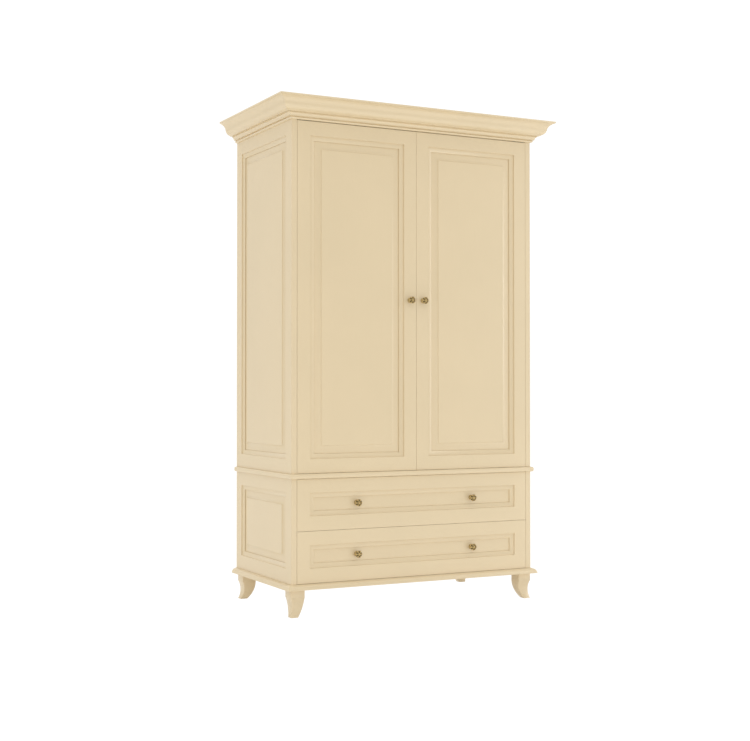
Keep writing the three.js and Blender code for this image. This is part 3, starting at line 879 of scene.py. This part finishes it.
def case_screws():
    """Screws through the rail sockets' flanges, the shelf's cleats and the drawer runners."""
    for side, sign in SIDES:
        inward = (-sign, 0, 0)
        low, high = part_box(f"rail_socket_{side}")
        centre = (low + high) / 2
        wall = high.x if sign > 0 else low.x
        face = wall - sign * SOCKET["flange"] * MM
        turns = [math.radians(90 + 120 * i) for i in range(3)]
        ring = SOCKET["ring"] * MM
        places = [(face, centre.y + ring * math.cos(a), centre.z + ring * math.sin(a)) for a in turns]
        screws(f"rail_socket_screws_{side}", "carcass", places, inward, ROUND_HEAD)
        for strip in ("shelf_cleat", "lower_runner", "upper_runner"):
            node = f"{strip}_{side}"
            low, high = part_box(node)
            x = low.x if sign > 0 else high.x
            inset = WOOD_SCREW_INSET * MM
            ys = spread(low.y + inset, high.y - inset, 4)
            places = [(x, y, (low.z + high.z) / 2) for y in ys]
            screws(f"{node}_screws", "carcass", places, inward)


def knob_bolts():
    """The bolt and washer that hold each knob, on the inner side of its door or drawer front."""
    owners = [(f"{side}_door_knob", f"{side}_door", f"{side}_door_frame") for side, _ in SIDES]
    for level in LEVELS:
        body = f"{level}_drawer"
        owners += [(f"{body}_knob_{side}", body, f"{body}_front") for side, _ in SIDES]
    for node, body, board in owners:
        low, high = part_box(node)
        centre = (low + high) / 2
        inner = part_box(board)[1].y
        screws(f"{node}_bolt", body, [(centre.x, inner, centre.z)], (0, 1, 0), ROUND_HEAD, WASHER)


def flat_plate(name, body, x0, x1, y0, y1, z0, z1):
    plate = block(x0, x1, y0, y1, z0, z1)
    plate.name = name
    soften(plate, 0.2)
    return finish_piece(plate, body, "hinge_steel", STEEL)


def catch_parts():
    """Two magnets in the catch's face and a strike plate for each on the doors' backs."""
    low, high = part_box("door_catch")
    for side, sign in SIDES:
        x0, x1 = sorted((sign * MAGNET["inner"] * MM, sign * MAGNET["outer"] * MM))
        z0, z1 = low.z + MAGNET["bottom"] * MM, high.z - MAGNET["top"] * MM
        y0, y1 = low.y - MAGNET["proud"] * MM, low.y + MAGNET["deep"] * MM
        flat_plate(f"catch_magnet_{side}", "carcass", x0, x1, y0, y1, z0, z1)
        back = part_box(f"{side}_door_frame")[1].y
        x0, x1 = sorted((sign * STRIKE["inner"] * MM, sign * STRIKE["outer"] * MM))
        z0, z1 = low.z + STRIKE["bottom"] * MM, high.z - STRIKE["top"] * MM
        plate_back = back + STRIKE["thickness"] * MM
        flat_plate(f"strike_plate_{side}", f"{side}_door", x0, x1, back, plate_back, z0, z1)


def dovetails():
    """End-grain pins of the dovetail joints, seen on the outer faces of the drawer sides."""
    end = DOVETAIL["end"] * MM
    for level in LEVELS:
        for side, sign in SIDES:
            low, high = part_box(f"{level}_drawer_side_{side}")
            face = high.x if sign > 0 else low.x
            bm = bmesh.new()
            front = (low.y + end, low.y + DOVETAIL["front"] * MM)
            rear = (high.y - end, high.y - DOVETAIL["rear"] * MM)
            for share in DOVETAIL["shares"]:
                z = low.z + (high.z - low.z) * share
                for y0, y1 in (front, rear):
                    dovetail_pin(bm, face, sign, y0, y1, z)
            pins = mesh_object(f"{level}_drawer_dovetails_{side}", bm)
            finish_piece(pins, f"{level}_drawer", "beech", BEECH_END)


def dovetail_pin(bm, face, sign, y0, y1, z):
    narrow, wide, sunk, proud = (DOVETAIL[key] * MM for key in ("narrow", "wide", "sunk", "proud"))
    rings = []
    for x in (face - sign * sunk, face + sign * proud):
        rings.append([(x, y0, z - narrow), (x, y1, z - wide), (x, y1, z + wide), (x, y0, z + narrow)])
    loft(bm, rings)


# ---------------------------------------------------------------- studio
# The studio's brightness from each side as seen from the camera, the floor's glow and the light
# it returns, and the power of the two soft panels.
LIGHT = {
    "back": 1.05,
    "right": 0.79,
    "left": 0.75,
    "front": 0.75,
    "top": 1.42,
    "floor": 1.08,
    "bounce": 0.2,
    "sheen_right": 141.0,
    "sheen_low": 82.0,
}
STUDIO_TURN = 27.2  # degrees, so that the studio's front lies behind the camera
# The camera that the object's own straight edges give: metres, degrees and a 36 mm sensor.
CAMERA = {"place": (-2.8329, -5.3881, 0.95885), "pitch": 90.8346, "turn": -27.1872, "lens": 63.58}
FLOOR_REACH = 30


def camera():
    data = bpy.data.cameras.new("camera")
    data.sensor_width = 36
    data.lens = CAMERA["lens"]
    data.clip_end = 100
    obj = bpy.data.objects.new("camera", data)
    obj.location = CAMERA["place"]
    obj.rotation_euler = (math.radians(CAMERA["pitch"]), 0, math.radians(CAMERA["turn"]))
    bpy.context.scene.collection.objects.link(obj)
    bpy.context.scene.camera = obj


def sheet(name, level, diffuse, glow):
    """A level sheet of floor at a height below zero, with its pale colour and its own glow."""
    corners = [(-1, -1), (1, -1), (1, 1), (-1, 1)]
    bm = bmesh.new()
    bm.faces.new([bm.verts.new((x * FLOOR_REACH, y * FLOOR_REACH, level)) for x, y in corners])
    piece = mesh_object(name, bm)
    material, _, shader = nodes_of(f"{name}_white")
    shader.inputs["Base Color"].default_value = (diffuse, diffuse, diffuse, 1)
    shader.inputs["Roughness"].default_value = 0.9
    shader.inputs["Specular IOR Level"].default_value = 0.0
    shader.inputs["Emission Color"].default_value = (1, 1, 1, 1)
    shader.inputs["Emission Strength"].default_value = glow
    piece.data.materials.append(material)
    return piece


def floor():
    """The floor is seen as plain white; a second sheet carries the light it returns and its shade."""
    seen = sheet("floor", -0.0008, 0.0, LIGHT["floor"])
    seen.visible_diffuse = False
    bounce = sheet("floor_bounce", -0.0004, 0.8, LIGHT["bounce"])
    bounce.visible_camera = False
    bounce.visible_glossy = False


def panel(name, centre, aim, size, painted):
    """A soft rectangular light that shows only as a reflection, in the painted pieces."""
    data = bpy.data.lights.new(name, "AREA")
    data.shape = "RECTANGLE"
    data.size, data.size_y = size
    data.energy = LIGHT[name]
    obj = bpy.data.objects.new(name, data)
    obj.location = centre
    obj.rotation_euler = (Vector(aim) - Vector(centre)).to_track_quat("-Z", "Y").to_euler()
    obj.visible_camera = False
    obj.visible_diffuse = False
    obj.light_linking.receiver_collection = painted
    bpy.context.scene.collection.objects.link(obj)


def panels():
    """The soft panels; the top board is left out, where they would glare from above."""
    painted = bpy.data.collections.new("painted")
    for obj in bpy.context.scene.collection.all_objects:
        if obj.name.startswith("top_board"):
            continue
        slots = getattr(obj.data, "materials", None) or ()
        if any(material and material.name.startswith("cream_paint") for material in slots):
            painted.objects.link(obj)
    panel("sheen_right", (4.5, -2.5, 1.75), (0, -0.3, 1.75), (3.2, 3.4), painted)
    panel("sheen_low", (1.4, -2.9, 0.002), (1.4, -2.9, 1), (5, 5), painted)


def surroundings():
    """A soft studio whose brightness toward each side blends smoothly into the next."""
    world = bpy.data.worlds.new("studio")
    bpy.context.scene.world = world
    world.use_nodes = True
    tree = world.node_tree
    background = next(n for n in tree.nodes if n.type == "BACKGROUND")
    background.inputs["Color"].default_value = (1, 1, 1, 1)
    source = add_node(tree, "ShaderNodeTexCoord")
    turned = add_node(tree, "ShaderNodeMapping")
    turned.inputs["Rotation"].default_value = (0, 0, math.radians(STUDIO_TURN))
    tree.links.new(source.outputs["Generated"], turned.inputs["Vector"])
    halves = (
        (1, (LIGHT["right"], LIGHT["back"], LIGHT["top"])),
        (-1, (LIGHT["left"], LIGHT["front"], LIGHT["top"])),
    )
    total = add_node(tree, "ShaderNodeMath", operation="ADD")
    for slot, (sign, strengths) in enumerate(halves):
        toward = vector_math(tree, "SCALE", turned.outputs["Vector"], sign)
        positive = vector_math(tree, "MAXIMUM", toward, (0, 0, 0))
        square = vector_math(tree, "MULTIPLY", positive, positive)
        share = add_node(tree, "ShaderNodeVectorMath", operation="DOT_PRODUCT")
        tree.links.new(square, share.inputs[0])
        share.inputs[1].default_value = strengths
        tree.links.new(share.outputs["Value"], total.inputs[slot])
    tree.links.new(total.outputs[0], background.inputs["Strength"])
    bpy.context.scene.view_settings.view_transform = "Standard"


def vector_math(tree, operation, first, second):
    node = add_node(tree, "ShaderNodeVectorMath", operation=operation)
    tree.links.new(first, node.inputs[0])
    if operation == "SCALE":
        node.inputs["Scale"].default_value = second
    elif hasattr(second, "links"):
        tree.links.new(second, node.inputs[1])
    else:
        node.inputs[1].default_value = second
    return node.outputs["Vector"]


camera()
floor()
surroundings()
boards()
side_walls()
cornice()
legs()
interior()
doors()
for side, _ in SIDES:
    knob(f"{side}_door_knob", f"{side}_door")
for level in LEVELS:
    drawer(level)
back_panels()
pivot_screws()
case_screws()
knob_bolts()
catch_parts()
dovetails()
panels()
